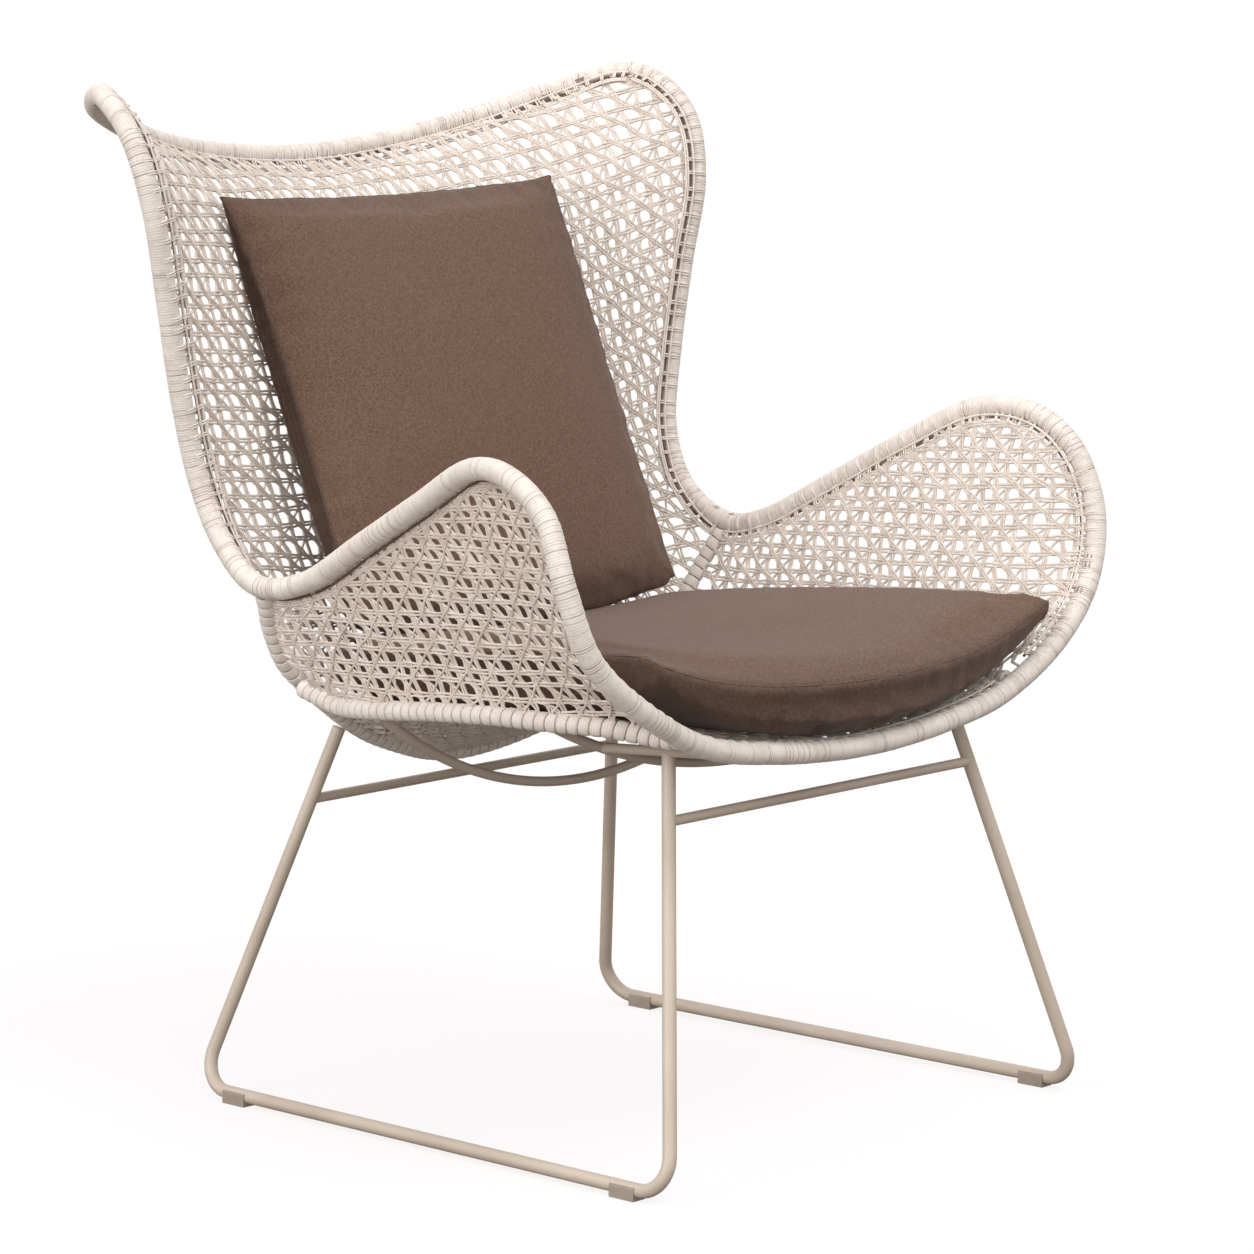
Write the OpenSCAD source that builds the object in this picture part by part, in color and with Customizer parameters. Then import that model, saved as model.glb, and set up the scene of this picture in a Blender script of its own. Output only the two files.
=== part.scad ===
// Wing-back lounge chair: a woven shell inside a wound rim, carried on a bent
// sled base, with a loose seat cushion and a loose back cushion.
// Z is up, the chair faces -Y, and the sitter's right hand is at -X.

/* [Sled base] */
// Diameter of the bent bar that makes two legs and a runner
leg_d = 13.5; // [11:0.5:15]
// Distance from the middle of the chair to a runner's front corner
front_stance = 307; // [290:1:320]
// Distance from the middle of the chair to a runner's rear corner
rear_stance = 300; // [290:1:315]
// Place of the runners' front corners along Y
front_corner_y = -408; // [-420:1:-395]
// Length of a runner from corner to corner
runner_length = 647; // [620:1:670]
// Bend radius at the bar's centre line
bend_r = 31; // [25:1:34]
// Distance from the middle of the chair to the top of a rear leg
rear_leg_top_x = 199; // [185:1:215]
// Height of the front crossbar
front_crossbar_z = 342; // [300:1:360]
// Height of the rear crossbar
rear_crossbar_z = 303; // [270:1:330]

/* [Glides] */
// Thickness of a glide under the runner
glide_floor = 3; // [2:0.5:5]
// Wall of a glide beside the runner
glide_wall = 1.3; // [1:0.1:3]
// Length of a glide along the runner
glide_length = 31; // [20:1:40]
// Distance from a front corner to the middle of its glide
front_glide_inset = 55; // [54:1:90]
// Distance from a rear corner to the middle of its glide
rear_glide_inset = 58; // [57:1:90]

/* [Bars under the seat] */
// Diameter of the bare bars
bar_d = 10; // [8:0.5:12]
// Place of the middle hoop along Y
middle_hoop_y = -13; // [-20:1:5]
// Radius of the middle hoop
middle_hoop_r = 470; // [460:1:480]
// Place of the front hoop along Y
front_hoop_y = -229; // [-236:1:-222]
// Radius of the front hoop
front_hoop_r = 620; // [600:1:640]
// Distance from the middle of the chair to a front stub
stub_x = 208; // [195:1:215]

/* [Wound rim and hoop] */
// Diameter of the tube inside the rim's winding
rim_tube_d = 19; // [16:0.5:20]
// Thickness of the winding on the rim
rim_wrap = 1.5; // [1.2:0.1:2]
// Diameter of the rods inside the rear hoop and the side rails
rod_d = 10; // [8:0.5:11]
// Thickness of the winding on the rear hoop
hoop_wrap = 3.4; // [2:0.1:4]
// Thickness of the winding on the side rails
rail_wrap = 4.4; // [2:0.1:5]

/* [Woven shell] */
// Thickness of the woven panels
net_t = 3.6; // [2:0.1:4.5]
// How far round the rim the panels are lashed, from its inner edge to its sitter's side
lash_angle = 36; // [30:1:45]
// Share of each opening's pitch that the bands between the openings take up
net_band = 0.36; // [0.3:0.02:0.6]

/* [Seat cushion] */
// Rise of the seat cushion's top above its seam
seat_crown = 28; // [10:1:34]
// Height of the seat cushion's front border at its middle
seat_border = 49; // [40:1:52]
// How far the seat cushion's long sides draw in
seat_draw = 8; // [0:1:15]

/* [Back cushion] */
// Width of the back cushion between its corners
back_w = 474; // [440:1:490]
// Length of the back cushion along its slope
back_l = 452; // [430:1:456]
// Width of the back cushion's side border
back_border = 30; // [10:1:34]
// Rise of the back cushion's front above its seam
back_crown = 36; // [20:1:40]
// Rise of the back cushion's rear above its seam
back_rear_crown = 27; // [15:1:29]
// How far the back cushion's edges draw in between its corners
back_draw = 7; // [0:1:15]

/* [Hidden] */
$fn = 48;
right = -1;
left = 1;
weld_gap = 0.1;
seat_gap = 0.3;
metal = [0.72, 0.66, 0.59];
wicker = [0.86, 0.82, 0.76];
fabric = [0.49, 0.38, 0.33];
plastic = [0.66, 0.6, 0.54];

// Left half of the rim's centre line: top middle, wing tip, waist, arm crest, front middle
rim_half = [
    [0, 401, 928], [120, 401, 936], [228, 380, 956], [335, 331, 989], [383, 270, 1006],
    [398, 212, 967], [392, 189, 896], [374, 191, 809], [357, 192, 717], [341, 185, 633],
    [336, 155, 571], [341, 101, 536], [338, 36, 546], [347, -49, 591], [356, -138, 639],
    [371, -216, 677], [384, -279, 676], [389, -329, 643], [391, -356, 581], [367, -367, 513],
    [304, -375, 458], [218, -375, 416], [125, -379, 400], [50, -382, 394], [0, -383, 393]];
// Points inside the shell that the panels leave the rim towards, one for each point above
rim_aim_half = [
    [0, 256, 650], [40, 256, 650], [90, 256, 680], [110, 246, 740], [110, 236, 790],
    [100, 236, 830], [90, 231, 840], [90, 226, 780], [90, 221, 700], [100, 211, 620],
    [150, 186, 500], [290, 106, 400], [310, 36, 400], [310, -34, 400], [300, -114, 400],
    [295, -184, 400], [310, -204, 420], [320, -194, 440], [310, -184, 450], [280, -174, 440],
    [180, -154, 420], [150, -104, 400], [90, -104, 390], [40, -104, 385], [0, -104, 385]];
// Left half of the rear hoop's centre line, from the middle to the rim's waist
hoop_half = [
    [0, 159, 324], [50, 154, 329], [100, 143, 342], [156, 136, 362], [195, 132, 383],
    [234, 126, 408], [265, 122, 430], [292, 119, 454], [314, 113, 488], [327, 105, 512],
    [335, 100, 525]];
// Left side rail's centre line, from the rear hoop to the front of the rim
rail_points = [
    [272, 112, 426], [281, 51, 416], [296, -14, 421], [300, -106, 430], [297, -183, 434],
    [286, -231, 433], [268, -285, 432], [251, -319, 427], [243, -342, 424], [241, -363, 426]];
tip = 4;
waist = 11;
front_corner = 19.5;
net_corner = 20.4;
seat_corner = 20.9;
hoop_corner = 6;
rim_count = 2 * (len(rim_half) - 1);
rail_end = len(rail_points) - 1;
hoop_end = len(hoop_half) - 1;

leg_r = leg_d / 2;
bar_r = bar_d / 2;
rod_r = rod_d / 2;
rim_tube_r = rim_tube_d / 2;
rim_r = rim_tube_r + rim_wrap;
rail_r = rod_r + rail_wrap;
hoop_r = rod_r + hoop_wrap;
runner_z = glide_floor + leg_r;

// ---- small vector helpers ----
function unit(v) = v / norm(v);
function flip(p) = [-p[0], p[1], p[2]];
function sided(p, side) = [side * p[0], p[1], p[2]];
function mix(a, b, t) = a * (1 - t) + b * t;

// ---- smooth curves through points ----
function blend(a, b, c, d, t) =
    0.5 * (2 * b + (c - a) * t + (2 * a - 5 * b + 4 * c - d) * t * t + (3 * b - a - 3 * c + d) * t * t * t);
function open_point(pts, i) =
    i < 0 ? 2 * pts[0] - pts[-i] : i >= len(pts) ? 2 * pts[len(pts) - 1] - pts[2 * len(pts) - 2 - i] : pts[i];
function open_curve(pts, s) = let (i = floor(s))
    blend(open_point(pts, i - 1), open_point(pts, i), open_point(pts, i + 1), open_point(pts, i + 2), s - i);
function loop_point(pts, i) = pts[(i % len(pts) + len(pts)) % len(pts)];
function loop_curve(pts, s) = let (i = floor(s))
    blend(loop_point(pts, i - 1), loop_point(pts, i), loop_point(pts, i + 1), loop_point(pts, i + 2), s - i);
function whole_loop(half) = concat(half, [for (i = [len(half) - 2 : -1 : 1]) flip(half[i])]);
function whole_hoop(half) = concat([for (i = [len(half) - 1 : -1 : 1]) flip(half[i])], half);

rim_loop = whole_loop(rim_half);
rim_aim_loop = whole_loop(rim_aim_half);
hoop_row = whole_hoop(hoop_half);
function rim_at(s) = loop_curve(rim_loop, s);
function hoop_at(s) = open_curve(hoop_row, s + hoop_end);
function rail_at(s) = open_curve(rail_points, s);

// Axes of the rim's section: the first points out of the shell, the second into the panel
slight = 0.02;
function rim_axes(s) = let (
    along = unit(rim_at(s + slight) - rim_at(s - slight)),
    out = unit(cross(along, loop_curve(rim_aim_loop, s) - rim_at(s))))
    [out, cross(out, along)];
function round_axes(a, b, up) = let (along = unit(b - a), side = unit(cross(along, up)))
    [side, cross(side, along)];
function hoop_axes(s) = round_axes(hoop_at(s - slight), hoop_at(s + slight), [0, 1, 0]);
function rail_axes(s) = round_axes(rail_at(s - slight), rail_at(s + slight), [0, 0, 1]);

// ---- rings and the solids between them ----
function ring(centre, axes, radius, sides) = [for (k = [0 : sides - 1]) let (turn = 360 * (k + 0.5) / sides)
    centre + radius * (cos(turn) * axes[0] + sin(turn) * axes[1])];
function strip(a, b, c, d) = [[a, b, c], [a, c, d]];
function wall_faces(rings, sides, start, closed, inward) = [
    for (i = [0 : rings - (closed ? 1 : 2)], k = [0 : sides - 1])
    let (a = start + i * sides + k, b = start + i * sides + (k + 1) % sides,
        c = start + ((i + 1) % rings) * sides + (k + 1) % sides, d = start + ((i + 1) % rings) * sides + k)
    each inward ? strip(a, d, c, b) : strip(a, b, c, d)];
function cap_faces(sides, start, last) = [for (k = [1 : sides - 2])
    last ? [start, start + k, start + k + 1] : [start, start + k + 1, start + k]];
function annulus_faces(sides, outer, inner, last) = [for (k = [0 : sides - 1])
    let (a = outer + k, b = outer + (k + 1) % sides, c = inner + (k + 1) % sides, d = inner + k)
    each last ? strip(a, b, c, d) : strip(a, d, c, b)];

module rod_between(rings, closed = false) {
    sides = len(rings[0]);
    count = len(rings);
    faces = concat(
        wall_faces(count, sides, 0, closed, false),
        closed ? [] : cap_faces(sides, 0, false),
        closed ? [] : cap_faces(sides, (count - 1) * sides, true));
    polyhedron([for (r = rings) each r], faces, 10);
}

module sleeve_between(outer, inner) {
    sides = len(outer[0]);
    count = len(outer);
    total = count * sides;
    faces = concat(
        wall_faces(count, sides, 0, false, false),
        wall_faces(count, sides, total, false, true),
        annulus_faces(sides, 0, total, false),
        annulus_faces(sides, total - sides, 2 * total - sides, true));
    polyhedron(concat([for (r = outer) each r], [for (r = inner) each r]), faces, 10);
}

// A thin or thick solid between two grids of points with the same rows and columns.
// With openings, every second cell of every second row is left out.
module slab_between(top, under, openings = false) {
    rows = len(top);
    cols = len(top[0]);
    size = rows * cols;
    function is_open(r, c) = openings && r % 2 == 1 && c % 2 == 1;
    edge = concat(
        [for (c = [0 : cols - 2]) c], [for (r = [0 : rows - 2]) r * cols + cols - 1],
        [for (c = [cols - 1 : -1 : 1]) (rows - 1) * cols + c], [for (r = [rows - 1 : -1 : 1]) r * cols]);
    faces = concat(
        [for (r = [0 : rows - 2], c = [0 : cols - 2]) if (!is_open(r, c))
            let (a = r * cols + c) each strip(a, a + cols, a + cols + 1, a + 1)],
        [for (r = [0 : rows - 2], c = [0 : cols - 2]) if (!is_open(r, c))
            let (a = size + r * cols + c) each strip(a, a + 1, a + cols + 1, a + cols)],
        [for (r = [0 : rows - 2], c = [0 : cols - 2]) if (is_open(r, c))
            let (a = r * cols + c, loop = [a, a + cols, a + cols + 1, a + 1])
            for (k = [0 : 3]) let (p = loop[k], q = loop[(k + 1) % 4]) each strip(p, q, q + size, p + size)],
        [for (k = [0 : len(edge) - 1]) let (a = edge[k], b = edge[(k + 1) % len(edge)])
            each strip(a, b, b + size, a + size)]);
    polyhedron(concat([for (r = top) each r], [for (r = under) each r]), faces, 10);
}

// ---- straight bars and bends ----
module placed(x_axis, y_axis, origin) {
    z_axis = cross(x_axis, y_axis);
    multmatrix([
        [x_axis[0], y_axis[0], z_axis[0], origin[0]],
        [x_axis[1], y_axis[1], z_axis[1], origin[1]],
        [x_axis[2], y_axis[2], z_axis[2], origin[2]],
        [0, 0, 0, 1]]) children();
}

module bar_between(a, b, d) {
    along = unit(b - a);
    side = unit(cross(along, abs(along[2]) > 0.9 ? [1, 0, 0] : [0, 0, 1]));
    placed(side, cross(along, side), a) cylinder(h = norm(b - a), d = d);
}

// A bar from a to c that bends round corner b
function bend_reach(a, b, c, r) = let (half_turn = (180 - acos(unit(a - b) * unit(c - b))) / 2) r * tan(half_turn);
module bend(a, b, c, r, d) {
    reach = bend_reach(a, b, c, r);
    start = b + reach * unit(a - b);
    along = unit(b - a);
    outward = -unit(unit(c - b) - (unit(c - b) * along) * along);
    turn = 180 - acos(unit(a - b) * unit(c - b));
    placed(outward, along, start - r * outward) rotate_extrude(angle = turn) translate([r, 0]) circle(d = d);
}

// ---- bare bars under the seat ----
function rail_x_at_y(y) = let (n = 60, near = [for (i = [0 : n - 1]) let (p = rail_at(rail_end * i / n)) if (p[1] >= y) p])
    near[len(near) - 1];
hoop_seat = 2;
function hoop_turn(r, rail) = asin((rail[0] - (rail_r + hoop_seat) * cos(asin(rail[0] / r))) / r);
middle_rail = rail_x_at_y(middle_hoop_y);
front_rail = rail_x_at_y(front_hoop_y);
middle_hoop_top = middle_rail[2] + sqrt(pow(middle_hoop_r, 2) - pow(middle_rail[0], 2));
front_hoop_top = front_rail[2] + sqrt(pow(front_hoop_r, 2) - pow(front_rail[0], 2));
function front_hoop_z(x) = front_hoop_top - sqrt(pow(front_hoop_r, 2) - x * x);

// ---- sled base ----
function front_corner(side) = [side * front_stance, front_corner_y, runner_z];
function rear_corner(side) = [side * rear_stance, front_corner_y + runner_length, runner_z];
stub_rear_z = front_hoop_z(stub_x);
function stub_point(y) = [stub_x, y, stub_rear_z + (front_hoop_y - y) * stub_slope];
stub_slope = 0.07;
stub_turn = 22;
front_rim_y = rim_half[21][1];
front_leg_top_y = -316;
function front_leg_top(side) = sided(stub_point(front_leg_top_y) - [0, 0, bar_r / 2], side);
function stub_rear(side) = sided(stub_point(front_hoop_y - bar_r - weld_gap), side);
function stub_front(side) = sided(stub_point(front_rim_y + rim_r * cos(stub_turn)), side);
rear_leg_s = 4 + (rear_leg_top_x - hoop_half[4][0]) / (hoop_half[5][0] - hoop_half[4][0]);
function rear_leg_top(side) = let (p = hoop_at(rear_leg_s))
    sided(p - (hoop_r + leg_seat) * unit(p - rear_corner(left)), side);
leg_seat = 2.3;
function leg_at(corner, top, z) = mix(corner, top, (z - corner[2]) / (top[2] - corner[2]));

// The bar swells a hair where it is bent, and its straights run a little way into the bends
bend_swell = 0.1;
bend_lap = 0.5;

module sled_frame(side) {
    a = front_leg_top(side);
    b = front_corner(side);
    c = rear_corner(side);
    d = rear_leg_top(side);
    front_reach = bend_reach(a, b, c, bend_r) - bend_lap;
    rear_reach = bend_reach(b, c, d, bend_r) - bend_lap;
    color(metal) difference() {
        union() {
            bar_between(a, b + front_reach * unit(a - b), leg_d);
            bend(a, b, c, bend_r, leg_d + bend_swell);
            bar_between(b + front_reach * unit(c - b), c + rear_reach * unit(b - c), leg_d);
            bend(b, c, d, bend_r, leg_d + bend_swell);
            bar_between(c + rear_reach * unit(d - c), d, leg_d);
        }
        // notch that the stub lies in
        bar_between(stub_rear(side), stub_front(side), bar_d + 2 * weld_gap);
    }
}

// A crossbar whose ends are hollowed to sit on the two legs
module crossbar(corner_left, top_left, z) {
    middle = leg_at(corner_left, top_left, z);
    color(metal) difference() {
        bar_between(flip(middle), middle, bar_d);
        for (side = [right, left])
            bar_between(sided(corner_left, side), sided(top_left, side), leg_d + weld_gap);
    }
}

module glide(side, corner, inset) {
    run = unit(rear_corner(side) - front_corner(side));
    wide = leg_r + glide_wall;
    lip = 3.5;
    placed(unit(cross(run, [0, 0, 1])), [0, 0, 1], corner + run * (inset + glide_length / 2))
    color(plastic) linear_extrude(glide_length) difference() {
        union() {
            circle(r = wide);
            translate([-wide, -runner_z]) square([2 * wide, runner_z]);
        }
        circle(r = leg_r + weld_gap);
        translate([-wide, lip]) square([2 * wide, wide]);
    }
}

// ---- hoops and stubs ----
module hanging_hoop(r, y, centre_z, half_turn) {
    color(metal) translate([0, y, centre_z]) rotate([90, 0, 0]) rotate([0, 0, -90 - half_turn])
        rotate_extrude(angle = 2 * half_turn, $fn = 360) translate([r, 0]) circle(d = bar_d, $fn = 48);
}

module front_stub(side) {
    color(metal) bar_between(stub_rear(side), stub_front(side), bar_d);
}

// ---- rim, hoop and rails: rods inside windings ----
steps = 2;
wrap_sides = 12;
rod_sides = 8;
wrap_join = 0.006;
// Lets a flat-sided bore clear the round bar inside it
corner_factor = 1 / cos(180 / wrap_sides);

module rim_wrap(from, to) {
    at = concat([from + wrap_join], [for (s = [from * steps + 1 : to * steps - 1]) s / steps], [to - wrap_join]);
    color(wicker) sleeve_between(
        [for (s = at) ring(rim_at(s), rim_axes(s), rim_r, wrap_sides)],
        [for (s = at) ring(rim_at(s), rim_axes(s), (rim_tube_r + weld_gap) * corner_factor, wrap_sides)]);
}

module rim_tube() {
    color(metal) rod_between([for (i = [0 : rim_count * steps - 1])
        let (s = i / steps) ring(rim_at(s), rim_axes(s), rim_tube_r, wrap_sides)], true);
}

module hoop_wrap_piece() {
    at = [-hoop_end : 1 : hoop_end];
    color(wicker) sleeve_between(
        [for (s = at) ring(hoop_at(s), hoop_axes(s), hoop_r, wrap_sides)],
        [for (s = at) ring(hoop_at(s), hoop_axes(s), (rod_r + weld_gap) * corner_factor, wrap_sides)]);
}

module hoop_rod() {
    color(metal) rod_between([for (s = [-hoop_end : 1 : hoop_end])
        ring(hoop_at(s), hoop_axes(s), rod_r, rod_sides)]);
}

module rail_piece(side, inner_r, outer_r, sides) {
    at = [for (i = [0 : rail_end * steps]) i / steps];
    mirror([side == left ? 0 : 1, 0, 0])
    if (inner_r == 0)
        rod_between([for (s = at) ring(rail_at(s), rail_axes(s), outer_r, sides)]);
    else
        sleeve_between(
            [for (s = at) ring(rail_at(s), rail_axes(s), outer_r, sides)],
            [for (s = at) ring(rail_at(s), rail_axes(s), inner_r, sides)]);
}

// ---- woven panels: stretched between four edges ----
function square_to(v, along) = unit(v - (v * unit(along)) * unit(along));
// Gaps from a tube to the middle of a panel that passes it flat, or that meets it edge on
edge_gap = seat_gap + net_t / 2;
butt_gap = net_t / 3;
function rim_edge(s) = let (axes = rim_axes(s))
    rim_at(s) + (rim_r + edge_gap) * (cos(lash_angle) * axes[1] - sin(lash_angle) * axes[0]);
function hoop_edge(s, towards) = hoop_at(s)
    + (hoop_r + butt_gap) * square_to(towards, hoop_at(s + slight) - hoop_at(s - slight));
function rail_edge(s, towards, gap) = rail_at(s)
    + (rail_r + gap) * square_to(towards, rail_at(s + slight) - rail_at(s - slight));
function sinh(x) = (exp(x) - exp(-x)) / 2;
function fade(k, t) = sinh(k * (1 - t)) / sinh(k);
function stretched(bottom, top, first, last, u, v, k_rows, k_cols) =
    let (p00 = first(0), p10 = last(0), p01 = first(1), p11 = last(1))
    mix(mix(p00, p10, u), mix(p01, p11, u), v)
    + fade(k_rows, v) * (bottom(u) - mix(p00, p10, u))
    + fade(k_rows, 1 - v) * (top(u) - mix(p01, p11, u))
    + fade(k_cols, u) * (first(v) - mix(p00, p01, v))
    + fade(k_cols, 1 - u) * (last(v) - mix(p10, p11, v));

module panel(sheet, rows, cols, openings = false) {
    small = 0.01;
    grid = [for (v = rows) [for (u = cols)
        let (across = sheet(min(u + small, 1), v) - sheet(max(u - small, 0), v),
            along = sheet(u, min(v + small, 1)) - sheet(u, max(v - small, 0)),
            shift = net_t / 2 * unit(cross(across, along)))
        [sheet(u, v) + shift, sheet(u, v) - shift]]];
    slab_between(
        [for (row = grid) [for (p = row) p[0]]],
        [for (row = grid) [for (p = row) p[1]]],
        openings);
}

// Places of even steps, and of the edges of even openings with a band on each side
function even_steps(n) = [for (i = [0 : n]) i / n];
function opening_edges(n) = concat(
    [0], [for (i = [0 : n - 1], edge = [net_band / 2, 1 - net_band / 2]) (i + edge) / n], [1]);
module open_panel(sheet, openings_up, openings_across) {
    panel(sheet, opening_edges(openings_up), opening_edges(openings_across), true);
}

back_sheet = function (u, v) stretched(
    function (t) hoop_edge(mix(-hoop_end, hoop_end, t), [0, 0.35, 1]),
    function (t) rim_edge(mix(-tip, tip, t)),
    function (t) rim_edge(mix(-waist, -tip, t)),
    function (t) rim_edge(mix(waist, tip, t)),
    u, v, 2.2, 2.8);
arm_sheet = function (u, v) stretched(
    function (t) rail_edge(mix(0.3, rail_end - 0.5, t), [0.35, 0, 1], butt_gap),
    function (t) rim_edge(mix(waist + 0.15, net_corner, t)),
    function (t) hoop_edge(mix(hoop_corner + 0.5, hoop_end, t), [0, -1, 0]),
    function (t) mix(rail_edge(rail_end - 0.5, [0.35, 0, 1], butt_gap), rim_edge(net_corner), t),
    u, v, 2, 4);
seat_sheet = function (u, v) stretched(
    function (t) hoop_edge(mix(-hoop_corner, hoop_corner, t), [0, -1, 0.35]),
    function (t) rim_edge(mix(rim_count - seat_corner, seat_corner, t)),
    function (t) flip(rail_edge(mix(0.2, rail_end - 0.2, t), [-1, 0, 0.5], edge_gap)),
    function (t) rail_edge(mix(0.2, rail_end - 0.2, t), [-1, 0, 0.5], edge_gap),
    u, v, 2.8, 3.2);

// ---- cushions ----
// Steep at the seams and flat in the middle
function swell(u, v, power) = pow(max(0, sin(180 * u) * sin(180 * v)), power);
cushion_cells = 18;
function even(i) = let (t = i / cushion_cells) t - 0.06 * sin(360 * t);

back_slope = 23.3;
back_foot = [0, 80.8, 487];
back_up = [0, sin(back_slope), cos(back_slope)];
back_front = [0, -cos(back_slope), sin(back_slope)];
function back_point(u, v, face) = let (
    bow = sin(180 * v), sag = sin(180 * u),
    half_w = back_w / 2 - back_draw * bow,
    length = back_l * v - back_draw * sag * (v > 0.5 ? 2 * v - 1 : 0) - back_bulge * sqrt(sag) * pow(1 - v, 3),
    edge = back_border / 2 * pow(bow, 0.4) * pow(max(sag, 0.3), 0.15),
    crown = (face > 0 ? back_crown : back_rear_crown) * swell(u, v, 0.5))
    back_foot + [(2 * u - 1) * half_w, 0, 0] + length * back_up + (face * (edge + crown) - 4 * bow) * back_front;
back_bulge = 28;

module back_cushion() {
    at = [for (i = [0 : cushion_cells]) even(i)];
    color(fabric) slab_between(
        [for (v = at) [for (u = at) back_point(u, v, 1)]],
        [for (v = at) [for (u = at) back_point(u, v, -1) - 0.5 * back_front]]);
}

seat_front_y = -413;
seat_tip = [285, -375];
seat_rear = [252, 108];
seat_front_z = 463;
seat_rear_z = 445;
seat_tip_z = 481;
seat_floor_z = 411.4;
seat_side_floor_z = 441;
seat_rear_sink = 24;
function seat_plan(u, v) = let (
    x = (2 * u - 1) * (mix(seat_tip[0], seat_rear[0], v) - seat_draw * sin(180 * v)),
    front = mix(seat_front_y, seat_tip[1], pow(abs(2 * u - 1), 1.6)))
    [x, mix(front, seat_rear[1], v)];
function seat_side_z(y) = y < -331 ? 508 - 11 * pow((-331 - y) / 44, 2) : 508 - 43 * pow((y + 331) / 454, 1.3);
function seat_seam_z(x, y, v) = let (middle = mix(seat_front_z, seat_rear_z, v))
    middle + (seat_side_z(y) - middle) * pow(abs(x) / seat_tip[0], 1.8);
function seat_bottom_z(x, y, v) = let (
    sink = pow(max(0, v - 0.4) / 0.6, 1.5),
    middle = mix(seat_front_z - seat_border, seat_floor_z, min(1, v * 8)) - seat_rear_sink * sink,
    side = mix(seat_tip_z, seat_side_floor_z, min(1, v * 2.2)))
    middle + (side - middle) * pow(abs(x) / seat_tip[0], 2.2);

module seat_cushion() {
    at = [for (i = [0 : cushion_cells]) even(i)];
    color(fabric) slab_between(
        [for (v = at) [for (u = at) let (p = seat_plan(u, v))
            [p[0], p[1], seat_seam_z(p[0], p[1], v) + seat_crown * swell(u, v, 0.45)]]],
        [for (v = at) [for (u = at) let (p = seat_plan(u, v)) [p[0], p[1], seat_bottom_z(p[0], p[1], v)]]]);
}

sled_frame(right);  // right_sled_frame
sled_frame(left);  // left_sled_frame
crossbar(front_corner(left), front_leg_top(left), front_crossbar_z);  // front_crossbar
crossbar(rear_corner(left), rear_leg_top(left), rear_crossbar_z);  // rear_crossbar
glide(right, front_corner(right), front_glide_inset);  // right_front_glide
glide(left, front_corner(left), front_glide_inset);  // left_front_glide
glide(right, rear_corner(right), -rear_glide_inset);  // right_rear_glide
glide(left, rear_corner(left), -rear_glide_inset);  // left_rear_glide
hanging_hoop(middle_hoop_r, middle_hoop_y, middle_hoop_top, hoop_turn(middle_hoop_r, middle_rail));  // middle_hoop
hanging_hoop(front_hoop_r, front_hoop_y, front_hoop_top, hoop_turn(front_hoop_r, front_rail));  // front_hoop
front_stub(right);  // right_front_stub
front_stub(left);  // left_front_stub
hoop_rod();  // rear_hoop_rod
hoop_wrap_piece();  // rear_hoop_wrap
color(metal) rail_piece(right, 0, rod_r, rod_sides);  // right_side_rail_rod
color(metal) rail_piece(left, 0, rod_r, rod_sides);  // left_side_rail_rod
color(wicker) rail_piece(right, (rod_r + weld_gap) * corner_factor, rail_r, wrap_sides);  // right_side_rail_wrap
color(wicker) rail_piece(left, (rod_r + weld_gap) * corner_factor, rail_r, wrap_sides);  // left_side_rail_wrap
rim_tube();
rim_wrap(-tip, tip);  // top_rim_wrap
rim_wrap(-waist, -tip);  // right_wing_wrap
rim_wrap(tip, waist);  // left_wing_wrap
rim_wrap(-front_corner, -waist);  // right_arm_wrap
rim_wrap(waist, front_corner);  // left_arm_wrap
rim_wrap(front_corner, rim_count - front_corner);  // front_rim_wrap
color(wicker) open_panel(back_sheet, 9, 11);  // back_net
color(wicker) open_panel(arm_sheet, 3, 8);  // left_arm_net
color(wicker) mirror([1, 0, 0]) open_panel(arm_sheet, 3, 8);  // right_arm_net
color(wicker) panel(seat_sheet, even_steps(10), even_steps(12));  // seat_net
back_cushion();
seat_cushion();
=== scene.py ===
# %% [markdown]
# # A woven wing-back lounge chair
# The chair is a bent metal sled that carries a wound rim. Four woven panels hang between the
# rim, the rear hoop and the side rails, and two loose cushions lie in the shell.
# The hard parts arrive as a fixed frame of solids, in metres. This lesson dresses them: it
# swaps the plain windings and panels for real strands, and the plain pads for stuffed cushions.
# We load the frame first.

# %% Load the fixed frame
import math
import bpy
import bmesh
import numpy as np
from mathutils import Matrix, Vector
from mathutils.bvhtree import BVHTree
from mathutils.kdtree import KDTree


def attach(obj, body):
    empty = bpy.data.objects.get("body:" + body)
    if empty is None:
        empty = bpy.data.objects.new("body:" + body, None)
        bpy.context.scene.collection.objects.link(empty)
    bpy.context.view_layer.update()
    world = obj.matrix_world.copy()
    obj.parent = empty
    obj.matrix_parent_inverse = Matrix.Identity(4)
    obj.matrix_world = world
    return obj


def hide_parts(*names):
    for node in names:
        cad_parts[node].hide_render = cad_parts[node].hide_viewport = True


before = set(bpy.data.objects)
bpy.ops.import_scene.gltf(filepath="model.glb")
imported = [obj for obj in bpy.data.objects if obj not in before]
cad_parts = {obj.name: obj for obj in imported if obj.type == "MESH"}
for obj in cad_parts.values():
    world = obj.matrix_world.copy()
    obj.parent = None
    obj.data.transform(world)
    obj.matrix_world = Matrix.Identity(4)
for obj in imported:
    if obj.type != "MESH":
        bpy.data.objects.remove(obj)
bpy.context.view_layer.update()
scene = bpy.context.scene

# %% [markdown]
# ## The camera
# A long lens far away keeps the two runners nearly parallel. The camera could be aimed with a
# constraint, but three axes written out say exactly where it looks: right, up and back. They
# are turned into one matrix. All its distances are in metres.

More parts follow.
